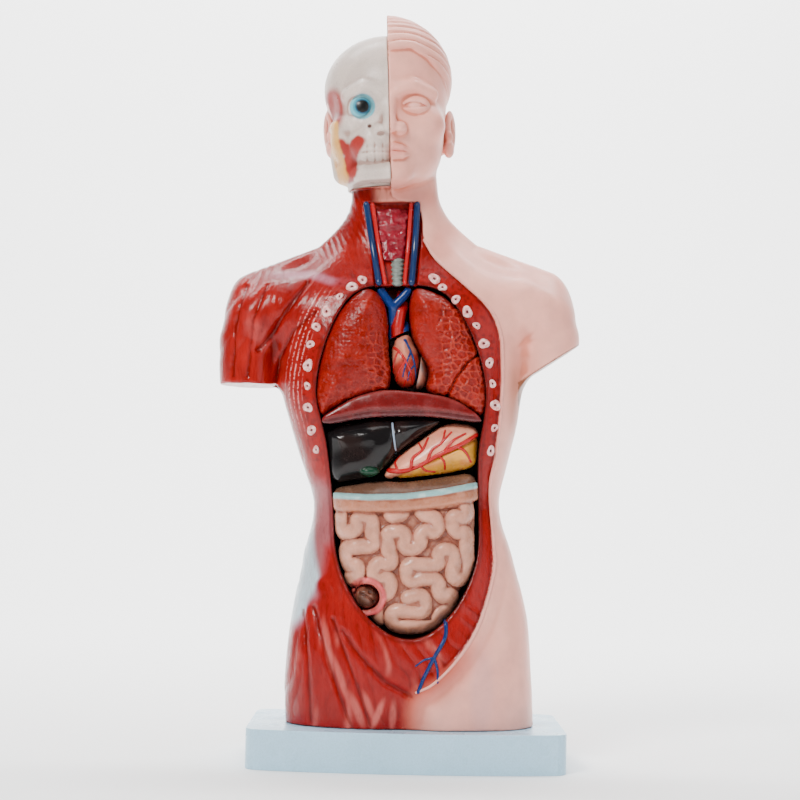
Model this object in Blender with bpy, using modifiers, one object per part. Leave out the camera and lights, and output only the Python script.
"""Half-life-size human torso anatomy model on a plinth, with lift-out organs.

Metres, +Z up. The origin is the centre of the plinth's underside and the torso faces -Y.
The torso and everything in it is modelled upright and symmetric about X = 0, then leaned by
torso_pose(). Organ outlines are flat in XZ and their sides run along Y, so every organ draws
straight out of the cavity towards -Y.
"""
import math

import bmesh
import bpy
from mathutils import Matrix, Vector

MM = 0.001
FAR = 100 * MM                      # reach of cutters past the object
GAP = 0.3 * MM                      # clearance between pieces that touch
SEAM = 0.4 * MM                     # clearance each organ keeps inside its outline

DOME_TURN = math.radians(84)        # how far an organ's front turns over
DOME_SHRINK = 0.55                  # and how much its outline shrinks on the way

# plinth
BASE_WIDTH = 171 * MM
BASE_DEPTH = 108 * MM
BASE_HEIGHT = 21.3 * MM
BASE_BOW = 7 * MM                   # how far the front edge bows out
BASE_CORNER = 9 * MM

# torso placement
TORSO_TILT = math.radians(1.16)     # the viewer's left side sits a little lower
TORSO_LEAN = 0.024                  # sideways lean per unit height
TORSO_OFFSET = 2 * MM

# cavity depths: Y of the back walls and of the backs of the organs
CHEST_WALL = 25 * MM
BELLY_WALL = 18 * MM
BELLY_TOP = 189 * MM
CHEST_BACK = 24.4 * MM
BELLY_BACK = 14 * MM
VESSEL_FRONT = 11 * MM              # chest pieces behind the heart start here

# organ depths, mm: Y of the front's highest point and of the shoulder where its doming starts
LUNG_DEPTHS = (-38, -24)
HEART_REAR_FRONT = -29 * MM
HEART_REAR_ROUNDING = 1.2 * MM
HEART_FRONT_DEPTHS = (-35, -24)
HEART_RECESS = -12 * MM             # front of the rear half's plate, which the front half lies on
BRONCHI_ROUNDING = 1 * MM
DIAPHRAGM_FRONT = -35 * MM
DIAPHRAGM_ROUNDING = 1.2 * MM
STOMACH_DEPTHS = (-32, -18)
STOMACH_REAR_DEPTHS = (-6, 2)
STOMACH_REAR_BACK = BELLY_BACK - 0.2 * MM
LIVER_DEPTHS = (-35, -24)
LIVER_BACK = -7 * MM
LIVER_REAR_DEPTHS = (-12, -9)
BOWEL_DEPTHS = (-37, -24)
WALL_ORGAN_DEPTHS = (14.6, 16.5)    # glued pieces on the belly's back wall
WALL_ORGAN_BACK = 21.5 * MM
WALL_POCKET = (17 * MM, 21.8 * MM)
LOBE_SEAM = SEAM * 1.3
AORTA_RADIUS = 3.2 * MM
AORTA_ENDS = ((7.5 * MM, 20 * MM, 216 * MM), (7.5 * MM, 20 * MM, 204 * MM))

# head
HEAD_X = -3 * MM
HEAD_SPLIT = HEAD_X - 0.1 * MM      # plane between the skull half and the skin half
JAW_SEAT = 317 * MM                 # height of the ledge the skull half stands on
BRAIN_CENTRE = Vector((HEAD_X, 2 * MM, 372 * MM))
BRAIN_RADII = (24 * MM, 33 * MM, 23 * MM)
BRAIN_GAP = 0.4 * MM
EAR_OUT = 36 * MM                   # ear centre, sideways from the head's middle
EAR_HEIGHT = 351 * MM
EAR_BACK = 4 * MM
EAR_RADII = (3.5 * MM, 7 * MM, 11 * MM)

# locating pins
PIN_RADIUS = 2 * MM
PIN_CLEARANCE = 0.3 * MM
PIN_IN_WALL = 5 * MM
PIN_IN_ORGAN = 13 * MM
PIN_SIDES = 16
SKULL_PINS = {"upper": (30 * MM, 398 * MM), "lower": (4 * MM, 330 * MM)}
SKULL_PIN_REACH = 8 * MM

# plinth screws
SCREW_SHANK = 1.6 * MM
SCREW_HEAD = 3.4 * MM
SCREW_HEAD_HEIGHT = 2.2 * MM
SCREW_LENGTH = 34 * MM
SCREW_POINT = 3 * MM
SCREW_SUNK = 0.6 * MM               # head's face below the plinth's underside
SCREW_RIM = 0.4 * MM
SCREW_SPOTS = {"left": (-34 * MM, 4 * MM), "right": (36 * MM, 4 * MM), "rear": (1 * MM, 26 * MM)}

COLOURS = {
    "white_plastic": ((0.52, 0.61, 0.67), 0.35),
    "steel": ((0.55, 0.55, 0.56), 0.3),
    "skin": ((0.70, 0.50, 0.47), 0.4),
    "bone": ((0.61, 0.58, 0.55), 0.4),
    "brain": ((0.62, 0.42, 0.38), 0.4),
    "lung": ((0.45, 0.03, 0.015), 0.35),
    "heart": ((0.36, 0.02, 0.01), 0.3),
    "vessel_red": ((0.39, 0.012, 0.017), 0.3),
    "cartilage": ((0.29, 0.32, 0.31), 0.35),
    "diaphragm": ((0.26, 0.02, 0.018), 0.3),
    "liver": ((0.02, 0.012, 0.01), 0.2),
    "stomach": ((0.73, 0.44, 0.36), 0.3),
    "gland": ((0.71, 0.43, 0.16), 0.4),
    "kidney": ((0.30, 0.04, 0.02), 0.35),
    "bowel": ((0.56, 0.34, 0.28), 0.35),
    "caecum": ((0.16, 0.06, 0.04), 0.35),
    "bladder": ((0.62, 0.38, 0.25), 0.35),
}

# Trunk and neck sections, mm: height, half width, front Y, back Y, squareness
TRUNK = [
    (12, 67, -39, 42, 2.6), (40, 69, -41, 44, 2.6), (60, 68, -42, 44, 2.5), (80, 66, -40, 42, 2.5),
    (105, 60, -37, 38, 2.4), (133, 52.5, -35, 34, 2.4), (146, 52, -35, 33, 2.4),
    (160, 55.5, -37, 34, 2.4), (175, 59.5, -40, 36, 2.4), (190, 63, -42, 38, 2.4),
    (205, 66, -43, 40, 2.4), (220, 69, -43, 42, 2.4), (238, 72, -40, 42, 2.4),
    (252, 71, -35, 38, 2.4), (264, 66, -29, 33, 2.3), (273, 58, -23, 28, 2.2), (280, 47, -19, 25, 2.1),
    (287, 37, -19, 23, 2.1), (296, 29, -20, 22, 2), (308, 25, -20, 21, 2), (322, 24, -18, 20, 2),
    (334, 20, -14, 18, 2),
]
# Head sections, mm: height, half width, front Y, back Y, squareness
HEAD = [
    (313.5, 13, -38, 6, 2), (318, 21, -41, 20, 2.1), (326, 26, -43, 34, 2.2), (338, 31, -43, 41, 2.3),
    (352, 34, -42, 44, 2.4), (366, 35.5, -41, 46, 2.4), (380, 36, -40, 46, 2.3),
    (393, 33, -35, 43, 2.2), (404, 26, -26, 35, 2.1), (412, 16, -15, 24, 2), (416.5, 5, -5, 9, 2),
]
# Arm stump sections, mm: centre X, centre Z, radius along the arm's width, radius in Y, turn
SHOULDER = [(48, 250, 22, 23, 80), (66, 251, 22.5, 27, 60), (76, 246, 22.5, 28, 38)]
RIGHT_STUMP = SHOULDER + [(80.5, 234, 21, 28, 16), (81.5, 221, 19.5, 27, 5), (82, 206.5, 18.5, 25, 2)]
LEFT_STUMP = SHOULDER + [(80.5, 234, 21, 28, 24), (79.5, 225, 20.5, 27, 30), (79, 217.5, 20.5, 25.5, 33)]

# Outlines in XZ, mm, of the cavity and of the seams that neighbouring organs share
OPENING = [
    (-25, 260.5), (0, 263), (25, 260.5), (38, 240), (45.5, 218), (47.5, 200), (45, 184), (42, 170),
    (41.5, 142), (41.5, 120), (38.5, 105), (30, 88), (20, 76), (8, 68), (-6, 68), (-19, 76),
    (-29, 88), (-37, 105), (-40, 120), (-40, 142), (-42, 170), (-44.5, 184), (-48.5, 200),
    (-46, 218), (-38.5, 240),
]
HEART_RIGHT_SEAM = [(-15, 260.5), (-8.5, 251.3), (-6, 239.8), (-7.3, 231.7), (-5, 204)]
HEART_LEFT_SEAM = [(9, 261), (5.1, 252.4), (5.3, 237.1), (8.9, 227.3), (16.7, 214.8), (12.3, 202.3)]
RIGHT_BASE_SEAM = [(-5, 204), (-14, 203.4), (-27, 199.6), (-39.5, 192), (-44.4, 188.5)]
LEFT_BASE_SEAM = [(12.3, 202.3), (27, 199.8), (38, 193), (43.4, 188)]
MIDRIFF_SEAM = [(-43.5, 183.5), (-17, 188.6), (12.3, 188.7), (24.7, 187.6), (43.5, 184.8)]
BELLY_SEAM = [(-39.5, 151.5), (-27, 153.6), (-14, 155.6), (-2, 154.6), (21, 157.3), (40.5, 160.8)]
LIVER_EDGE = [(24.7, 187.6), (12, 179), (-2.8, 169.2), (-14, 155.6)]

RIGHT_LUNG = HEART_RIGHT_SEAM + RIGHT_BASE_SEAM[1:] + [
    (-46.8, 200), (-44.5, 220), (-37.5, 239), (-29.5, 252),
]
LEFT_LUNG = HEART_LEFT_SEAM + LEFT_BASE_SEAM[1:] + [(46, 200), (43.5, 220), (37, 238.5), (29, 252)]
HEART_PART_SEAM = [(7.5, 203.9), (9.6, 212), (10.9, 219.5)]
HEART_FRONT = [(-7, 231), (-5, 204.6)] + HEART_PART_SEAM + [(10.8, 223.4), (8.6, 227.3), (5, 236.3)]
HEART_PLATE = [(-5.2, 204.2), (12, 202.6), (15.8, 213.6), (5, 234.5), (-6.9, 231.3)]
HEART_REAR_BLOCKS = {
    # name: outline in XZ, mm; each is convex and clear of the lungs and of the front half
    "great_vessel_roots": [(-7.2, 251), (-6.3, 232.5), (5, 237.5), (5, 251.6)],
    "great_vessel_tops": [(-14, 260), (-7.9, 252), (5, 252.5), (8.4, 260.5)],
    "heart_left_margin": [(9.3, 204.2), (12.3, 202.5), (16.5, 214.8), (12.4, 221.8)],
}
DIAPHRAGM = (RIGHT_BASE_SEAM[::-1] + LEFT_BASE_SEAM + MIDRIFF_SEAM[::-1])
LIVER = MIDRIFF_SEAM[:4] + LIVER_EDGE[1:3] + BELLY_SEAM[2::-1] + [(-41, 170)]
LIVER_REAR = [
    (-43.5, 183.5), (-22, 187), (-18, 170), (-19, 155), (-27, 153.6), (-39.5, 151.5), (-41, 170),
]
STOMACH_FRONT = LIVER_EDGE + BELLY_SEAM[3:] + [(41, 171), (43.5, 184.8)]
STOMACH_REAR = [(22, 186.5), (5, 186), (-8, 181), (-15, 170), (-13.5, 156)] + BELLY_SEAM[3:] + [
    (41, 171), (43.5, 184.8),
]
INTESTINES = BELLY_SEAM + [
    (41, 142), (40.5, 122), (37.5, 105.5), (29.5, 89), (19.5, 77), (8, 69), (-6, 69), (-18.5, 77),
    (-28, 88.5), (-35.5, 105), (-38.8, 121), (-39.2, 142),
]
PANCREAS = [
    (34, 178), (18, 175), (4, 172), (-10, 176), (-15, 168), (-12, 160), (-3, 161), (4, 165),
    (20, 167), (35, 170),
]
SPLEEN = [(28, 166), (37, 165), (38, 159.5), (32, 157.5)]
KIDNEY = [
    (20, 152), (27, 156), (34, 150), (35.5, 138), (32, 127), (26, 124), (21.5, 129), (23.5, 137),
    (22.5, 145),
]
BRONCHI = [
    (-3.5, 259), (3.5, 259), (3.5, 231), (10, 222), (7.5, 218.5), (0, 226), (-7.5, 218.5), (-10, 222),
    (-3.5, 231),
]
BLADDER = [(-11, 92), (11, 92), (12, 82), (0, 76), (-12, 82)]
VESSELS = [
    (-5.5, 156), (5.5, 156), (5, 120), (11, 104), (7, 100), (0, 110), (-7, 100), (-11, 104),
    (-5, 120),
]
CAECUM_SPOT = (-21.5 * MM, 92 * MM)
CAECUM_RADIUS = 6.6 * MM
CAECUM_DEPTH = 7 * MM
CAECUM_SIDES = 28
KIDNEY_DROP = 3                     # mm that the right kidney sits below the left one
HEAD_SIDES = 28
LUNG_NOTCH = ((-12 * MM, VESSEL_FRONT - GAP, 190 * MM), (12.5 * MM, FAR, 280 * MM))
CAECUM_SEAT = -26 * MM
CAECUM_MIDDLE = -29 * MM

PINS = {
    "right_lung": (-28 * MM, 222 * MM, CHEST_WALL),
    "left_lung": (28 * MM, 222 * MM, CHEST_WALL),
    "stomach": (22 * MM, 182 * MM, BELLY_WALL),
    "liver": (-30 * MM, 168 * MM, BELLY_WALL),
    "intestine": (13 * MM, 128 * MM, BELLY_WALL),
}


def clear_scene():
    for thing in list(bpy.data.objects):
        bpy.data.objects.remove(thing, do_unlink=True)


def collection(name):
    group = bpy.data.collections.new(name)
    bpy.context.scene.collection.children.link(group)
    return group


def material(name):
    found = bpy.data.materials.get(name)
    if found:
        return found
    colour, roughness = COLOURS[name]
    made = bpy.data.materials.new(name)
    made.use_nodes = True
    shader = made.node_tree.nodes["Principled BSDF"]
    shader.inputs["Base Color"].default_value = (*colour, 1)
    shader.inputs["Roughness"].default_value = roughness
    shader.inputs["Metallic"].default_value = 1.0 if name == "steel" else 0.0
    return made


def torso_pose():
    """Lean and tilt that carry the upright torso to where it stands on the plinth."""
    lean = Matrix.Identity(4)
    lean[0][2] = -TORSO_LEAN
    up = Matrix.Translation((TORSO_OFFSET, 0, BASE_HEIGHT))
    down = Matrix.Translation((0, 0, -BASE_HEIGHT))
    return up @ Matrix.Rotation(-TORSO_TILT, 4, "Y") @ lean @ down


def add_object(name, bm, slot, leaned=True):
    """Turn a bmesh into a named part, or into a cutter when slot is None."""
    if leaned:
        bmesh.ops.transform(bm, matrix=POSE, verts=bm.verts)
    bmesh.ops.recalc_face_normals(bm, faces=bm.faces)
    mesh = bpy.data.meshes.new(name)
    bm.to_mesh(mesh)
    bm.free()
    thing = bpy.data.objects.new(name, mesh)
    if slot is None:
        thing.hide_render = True
        thing.display_type = "WIRE"
        CUTTERS.objects.link(thing)
    else:
        mesh.materials.append(material(slot))
        mesh.shade_smooth()
        mesh.set_sharp_from_angle(angle=math.radians(35))
        PARTS.objects.link(thing)
    return thing


def boolean(thing, other, operation="DIFFERENCE"):
    """Boolean modifier; where cavity walls share planes with the cutters, EXACT leaves slits."""
    step = thing.modifiers.new(other.name, "BOOLEAN")
    step.solver = "MANIFOLD" if thing.name == "torso_body" else "EXACT"
    step.operation = operation
    step.object = other


def superellipse(half_width, front, back, squareness, count=32):
    """Closed ring in XY whose front and back halves have their own depth."""
    ring = []
    for step in range(count):
        angle = math.tau * step / count
        c, s = math.cos(angle), math.sin(angle)
        x = half_width * math.copysign(abs(c) ** (2 / squareness), c)
        depth = back if s > 0 else -front
        ring.append((x, depth * math.copysign(abs(s) ** (2 / squareness), s)))
    return ring


def loft(rings):
    """Skin rings of equal length and close both ends."""
    bm = bmesh.new()
    rows = [[bm.verts.new(point) for point in ring] for ring in rings]
    count = len(rows[0])
    for low, high in zip(rows, rows[1:]):
        for i in range(count):
            j = (i + 1) % count
            bm.faces.new((low[i], low[j], high[j], high[i]))
    bm.faces.new(rows[0])
    bm.faces.new(rows[-1])
    bmesh.ops.triangulate(bm, faces=[f for f in bm.faces if len(f.verts) > 4])
    return bm


def round_corners(outline, passes=2):
    """Chaikin corner cutting: neighbours that share a seam stay in step along it."""
    points = [Vector((x * MM, z * MM)) for x, z in outline]
    for _ in range(passes):
        cut = []
        for here, there in zip(points, points[1:] + points[:1]):
            cut += [here.lerp(there, 0.25), here.lerp(there, 0.75)]
        points = cut
    return points


def inset(points, distance):
    """Move a closed XZ outline inwards by a distance (outwards when negative)."""
    area = sum(a.x * b.y - b.x * a.y for a, b in zip(points, points[1:] + points[:1]))
    side = 1 if area > 0 else -1
    moved = []
    for i, point in enumerate(points):
        along = (points[(i + 1) % len(points)] - points[i - 1]).normalized()
        moved.append(point + side * distance * Vector((-along.y, along.x)))
    return moved


def prism(outline, front, back, margin=0.0):
    """Flat-ended solid along Y between two depths."""
    points = inset(round_corners(outline), margin)
    return loft([[(p.x, y, p.y) for p in points] for y in (front, back)])


def moulding(outline, depths, back, margin=SEAM, steps=5):
    """Organ body: straight sides from back to shoulder, then a domed front."""
    front, shoulder = (depth * MM for depth in depths)
    points = inset(round_corners(outline), margin)
    centre = sum(points, Vector((0, 0))) / len(points)
    rings = [[(p.x, back, p.y) for p in points]]
    for step in range(steps + 1):
        turn = DOME_TURN * step / steps
        scale = 1 - DOME_SHRINK * (1 - math.cos(turn))
        y = shoulder + (front - shoulder) * math.sin(turn)
        ring = [centre + scale * (p - centre) for p in points]
        rings.append([(p.x, y, p.y) for p in ring])
    return loft(rings)


def slab(outline, front, back, rounding, margin=SEAM):
    """Plate along Y with a rounded front edge, for outlines too winding to dome."""
    points = round_corners(outline)
    rings = [[(p.x, back, p.y) for p in inset(points, margin)]]
    for step in range(4):
        turn = math.radians(30 * step)
        away = margin + rounding * (1 - math.cos(turn))
        y = front + rounding * (1 - math.sin(turn))
        rings.append([(p.x, y, p.y) for p in inset(points, away)])
    return loft(rings)


def body_rings(sections, centre_x=0.0, count=32):
    rings = []
    for height, half_width, front, back, squareness in sections:
        ring = superellipse(half_width * MM, front * MM, back * MM, squareness, count)
        rings.append([(centre_x + x, y, height * MM) for x, y in ring])
    return loft(rings)


def box(low, high):
    bm = bmesh.new()
    bmesh.ops.create_cube(bm, size=1)
    size = Vector(high) - Vector(low)
    centre = (Vector(high) + Vector(low)) / 2
    bmesh.ops.transform(bm, matrix=Matrix.Translation(centre) @ Matrix.Diagonal((*size, 1)), verts=bm.verts)
    return bm


def cylinder(radius, start, end, segments=20):
    """Solid round bar between two points."""
    start, end = Vector(start), Vector(end)
    bm = bmesh.new()
    turn = (end - start).to_track_quat("Z", "Y").to_matrix().to_4x4()
    place = Matrix.Translation((start + end) / 2) @ turn
    bmesh.ops.create_cone(bm, cap_ends=True, segments=segments, radius1=radius, radius2=radius,
                          depth=(end - start).length, matrix=place)
    return bm


def ellipsoid(centre, radii, segments=24, rings=14):
    bm = bmesh.new()
    half_step = Matrix.Rotation(math.pi / segments, 4, "Z")
    bmesh.ops.create_uvsphere(bm, u_segments=segments, v_segments=rings, radius=1, matrix=half_step)
    bmesh.ops.transform(bm, matrix=Matrix.Translation(centre) @ Matrix.Diagonal((*radii, 1)), verts=bm.verts)
    return bm


def make_base():
    half_w, half_d = BASE_WIDTH / 2, BASE_DEPTH / 2
    straight = half_d - BASE_BOW
    outline = []
    for corner_x, corner_y, first in ((half_w, half_d, 0), (-half_w, half_d, 90)):
        for step in range(5):
            angle = math.radians(first + 22.5 * step)
            outline.append((corner_x - math.copysign(BASE_CORNER, corner_x) + BASE_CORNER * math.cos(angle),
                            corner_y - BASE_CORNER + BASE_CORNER * math.sin(angle)))
    for step in range(5):
        angle = math.radians(180 + 16 * step)
        outline.append((-half_w + BASE_CORNER + BASE_CORNER * math.cos(angle),
                        -straight + BASE_CORNER + BASE_CORNER * math.sin(angle)))
    reach = half_w - BASE_CORNER
    for step in range(1, 12):
        x = -reach + 2 * reach * step / 12
        outline.append((x, -straight - BASE_BOW * (1 - (x / reach) ** 2) ** 0.9))
    for step in range(5):
        angle = math.radians(296 + 16 * step)
        outline.append((half_w - BASE_CORNER + BASE_CORNER * math.cos(angle),
                        -straight + BASE_CORNER + BASE_CORNER * math.sin(angle)))
    bm = loft([[(x, y, z) for x, y in outline] for z in (0, BASE_HEIGHT)])
    base = add_object("base_board", bm, "white_plastic", leaned=False)
    edge = base.modifiers.new("rounded_edges", "BEVEL")
    edge.width = 1.6 * MM
    edge.segments = 3
    edge.limit_method = "ANGLE"
    edge.angle_limit = math.radians(50)
    return base


def make_screws(base, torso):
    for spot, (x, y) in SCREW_SPOTS.items():
        profile = [
            (0, SCREW_LENGTH), (SCREW_SHANK, SCREW_LENGTH - SCREW_POINT),
            (SCREW_SHANK, SCREW_SUNK + SCREW_HEAD_HEIGHT), (SCREW_HEAD, SCREW_SUNK + SCREW_RIM),
            (SCREW_HEAD, SCREW_SUNK), (0, SCREW_SUNK),
        ]
        add_turned("torso_screw_" + spot, profile, (x, y), "steel")
        shank, head = SCREW_SHANK + PIN_CLEARANCE, SCREW_HEAD + PIN_CLEARANCE
        hole = [
            (0, SCREW_LENGTH + PIN_CLEARANCE), (shank, SCREW_LENGTH + PIN_CLEARANCE),
            (shank, SCREW_SUNK + SCREW_HEAD_HEIGHT + GAP), (head, SCREW_SUNK + SCREW_RIM + 0.2 * MM),
            (head, -SCREW_RIM), (0, -SCREW_RIM),
        ]
        cutter = add_turned("screw_hole_" + spot, hole, (x, y), None)
        boolean(base, cutter)
        boolean(torso, cutter)


def add_turned(name, profile, spot, slot, segments=16):
    """Solid of revolution about a vertical axis through spot; profile runs down its outer side."""
    bm = bmesh.new()
    points = [bm.verts.new((radius, 0, height)) for radius, height in profile]
    for a, b in zip(points, points[1:]):
        bm.edges.new((a, b))
    mesh = bpy.data.meshes.new(name)
    bm.to_mesh(mesh)
    bm.free()
    thing = bpy.data.objects.new(name, mesh)
    thing.location = (*spot, 0)
    turn = thing.modifiers.new("turn", "SCREW")
    turn.steps = turn.render_steps = segments
    turn.use_merge_vertices = True
    turn.merge_threshold = 0.00005
    turn.use_smooth_shade = True
    if slot is None:
        thing.hide_render = True
        thing.display_type = "WIRE"
        CUTTERS.objects.link(thing)
    else:
        mesh.materials.append(material(slot))
        PARTS.objects.link(thing)
    return thing


def arm_form(sections, side):
    """Shoulder and arm stump as one lofted limb; side is -1 for the body's right arm."""
    rings = []
    for cx, cz, wide, deep, turn in sections:
        tilt = math.radians(turn)
        ring = []
        for step in range(24):
            angle = math.tau * step / 24
            across = wide * math.cos(angle)
            x = cx + across * math.cos(tilt)
            z = cz + across * math.sin(tilt)
            ring.append((side * x * MM, (2 + deep * math.sin(angle)) * MM, z * MM))
        rings.append(ring)
    return loft(rings)


def make_torso():
    """Trunk, neck and arm stumps, open in front and cut level at the jaw."""
    torso = add_object("torso_body", body_rings(TRUNK), "skin")
    boolean(torso, add_object("right_arm_form", arm_form(RIGHT_STUMP, -1), None), "UNION")
    boolean(torso, add_object("left_arm_form", arm_form(LEFT_STUMP, 1), None), "UNION")
    chin = add_object("chin_form", body_rings(HEAD[:3], HEAD_X, HEAD_SIDES), None)
    boolean(torso, chin, "UNION")
    cut_away = {
        "base_cut": (box((-FAR, -FAR, -FAR), (FAR, FAR, BASE_HEIGHT + GAP)), False),
        "jaw_cut": (box((-FAR, -FAR, JAW_SEAT), (FAR, FAR, 5 * FAR)), True),
        "chest_cut": (chest_cutter(), True),
        "belly_cut": (prism(OPENING, -FAR, BELLY_WALL), True),
    }
    for name, (bm, leaned) in cut_away.items():
        boolean(torso, add_object(name, bm, None, leaned))
    return torso


def half_head(name, slot, side, split):
    """One half of the head above the jaw, with its ear and its side of the brain's hollow."""
    half = add_object(name, body_rings(HEAD, HEAD_X, HEAD_SIDES), slot)
    ear_spot = Vector((HEAD_X + side * EAR_OUT, EAR_BACK, EAR_HEIGHT))
    boolean(half, add_object(name + "_ear", ellipsoid(ear_spot, EAR_RADII, 12, 8), None), "UNION")
    ends = sorted((split, split + side * FAR))
    keep = box((ends[0], -FAR, JAW_SEAT + GAP), (ends[1], FAR, 5 * FAR))
    boolean(half, add_object(name + "_keep", keep, None), "INTERSECT")
    hollow = ellipsoid(BRAIN_CENTRE, [radius + BRAIN_GAP for radius in BRAIN_RADII])
    boolean(half, add_object(name + "_hollow", hollow, None))
    return half


def chest_cutter():
    """The cavity runs deeper above the midriff than in the belly."""
    upper = [(x, z) for x, z in OPENING if z * MM >= BELLY_TOP]
    left_side = [p for p in upper if p[0] >= -30][1:]
    right_side = [p for p in upper if p[0] < 0 and p[1] < 255]
    outline = left_side + LEFT_BASE_SEAM[-1:] + MIDRIFF_SEAM[::-1] + RIGHT_BASE_SEAM[-1:]
    return prism(outline + right_side + upper[:1], -FAR, CHEST_WALL, -2 * GAP)


def make_brain():
    halves = {"brain_half_right": (-FAR, -GAP), "brain_half_left": (0, FAR)}
    for name, (low, high) in halves.items():
        brain = add_object(name, ellipsoid(BRAIN_CENTRE, BRAIN_RADII), "brain")
        keep = box((HEAD_SPLIT + low, -FAR, 0), (HEAD_SPLIT + high, FAR, 5 * FAR))
        boolean(brain, add_object(name + "_keep", keep, None), "INTERSECT")


def make_skull_pins(skull, face):
    start, end = HEAD_X + SKULL_PIN_REACH, HEAD_X - SKULL_PIN_REACH
    for place, (y, z) in SKULL_PINS.items():
        pin = cylinder(PIN_RADIUS, (start, y, z), (end, y, z), PIN_SIDES)
        add_object("skull_pin_" + place, pin, "steel")
        hole = cylinder(PIN_RADIUS + PIN_CLEARANCE, (start + GAP, y, z), (end - GAP, y, z), PIN_SIDES)
        cutter = add_object("skull_pin_hole_" + place, hole, None)
        boolean(skull, cutter)
        boolean(face, cutter)


def make_chest():
    for name, outline in {"right_lung": RIGHT_LUNG, "left_lung": LEFT_LUNG}.items():
        lung = add_object(name, moulding(outline, LUNG_DEPTHS, CHEST_BACK), "lung")
        notch = box(*LUNG_NOTCH)
        boolean(lung, add_object(name + "_notch", notch, None))
    behind = VESSEL_FRONT - 2 * GAP
    add_object("heart_rear_half", slab(HEART_PLATE, HEART_RECESS, behind, HEART_REAR_ROUNDING), "heart")
    for name, outline in HEART_REAR_BLOCKS.items():
        back = HEART_RECESS - GAP if name == "heart_left_margin" else behind
        add_object(name, slab(outline, HEART_REAR_FRONT, back, HEART_REAR_ROUNDING), "heart")
    front = moulding(HEART_FRONT, HEART_FRONT_DEPTHS, HEART_RECESS - GAP)
    add_object("heart_front_half", front, "heart")
    bronchi = slab(BRONCHI, VESSEL_FRONT, CHEST_BACK, BRONCHI_ROUNDING)
    add_object("trachea_and_bronchi", bronchi, "cartilage")
    add_object("thoracic_aorta", cylinder(AORTA_RADIUS, *AORTA_ENDS, PIN_SIDES), "vessel_red")
    dome = slab(DIAPHRAGM, DIAPHRAGM_FRONT, CHEST_BACK, DIAPHRAGM_ROUNDING)
    add_object("diaphragm", dome, "diaphragm")


def make_belly():
    stomach = add_object("stomach", moulding(STOMACH_FRONT, STOMACH_DEPTHS, BELLY_BACK), "stomach")
    rear = moulding(STOMACH_REAR, STOMACH_REAR_DEPTHS, STOMACH_REAR_BACK, LOBE_SEAM)
    boolean(stomach, add_object("stomach_rear_form", rear, None), "UNION")
    liver = add_object("liver", moulding(LIVER, LIVER_DEPTHS, LIVER_BACK), "liver")
    lobe = moulding(LIVER_REAR, LIVER_REAR_DEPTHS, BELLY_BACK, LOBE_SEAM, 2)
    boolean(liver, add_object("liver_rear_form", lobe, None), "UNION")


def make_bowel():
    """Intestines with a round socket for the lift-off cover of the caecum."""
    bowel = add_object("intestines", moulding(INTESTINES, BOWEL_DEPTHS, BELLY_BACK), "bowel")
    x, z = CAECUM_SPOT
    socket = cylinder(CAECUM_RADIUS + GAP, (x, -FAR, z), (x, CAECUM_SEAT, z), CAECUM_SIDES)
    boolean(bowel, add_object("caecum_socket", socket, None))
    radii = (CAECUM_RADIUS, CAECUM_DEPTH, CAECUM_RADIUS)
    cover = ellipsoid(Vector((x, CAECUM_MIDDLE, z)), radii, CAECUM_SIDES)
    caecum = add_object("caecum_cover", cover, "caecum")
    keep = box((-FAR, -FAR, 0), (FAR, CAECUM_SEAT - GAP, 5 * FAR))
    boolean(caecum, add_object("caecum_keep", keep, None), "INTERSECT")


def make_back_wall_organs(torso):
    """Pieces glued in shallow pockets of the belly's back wall."""
    right_kidney = [(-x, z - KIDNEY_DROP) for x, z in KIDNEY]
    set_in = {
        "left_kidney": (KIDNEY, "kidney"), "right_kidney": (right_kidney, "kidney"),
        "pancreas_and_duodenum": (PANCREAS, "gland"), "spleen": (SPLEEN, "kidney"),
        "urinary_bladder": (BLADDER, "bladder"), "abdominal_vessels": (VESSELS, "vessel_red"),
    }
    for name, (outline, slot) in set_in.items():
        piece = moulding(outline, WALL_ORGAN_DEPTHS, WALL_ORGAN_BACK, SEAM, 2)
        add_object(name, piece, slot)
        boolean(torso, add_object(name + "_pocket", prism(outline, *WALL_POCKET), None))


def make_pins(torso):
    for name, (x, z, wall) in PINS.items():
        inner, outer = wall - PIN_IN_ORGAN, wall + PIN_IN_WALL
        pin = cylinder(PIN_RADIUS, (x, inner, z), (x, outer, z), PIN_SIDES)
        add_object(name + "_pin", pin, "steel")
        hole = cylinder(PIN_RADIUS + PIN_CLEARANCE, (x, inner - GAP, z), (x, outer + GAP, z), PIN_SIDES)
        cutter = add_object(name + "_pin_hole", hole, None)
        boolean(torso, cutter)
        organ = PARTS.objects["intestines" if name == "intestine" else name]
        boolean(organ, cutter)


clear_scene()
PARTS = collection("torso_anatomy_model")
CUTTERS = collection("cutters")
POSE = torso_pose()
base_board = make_base()
torso_body = make_torso()
make_screws(base_board, torso_body)
face_half = half_head("head_skin_half", "skin", 1, HEAD_SPLIT)
skull_half = half_head("skull_half", "bone", -1, HEAD_SPLIT - GAP)
make_brain()
make_skull_pins(skull_half, face_half)
make_chest()
make_belly()
make_bowel()
make_back_wall_organs(torso_body)
make_pins(torso_body)
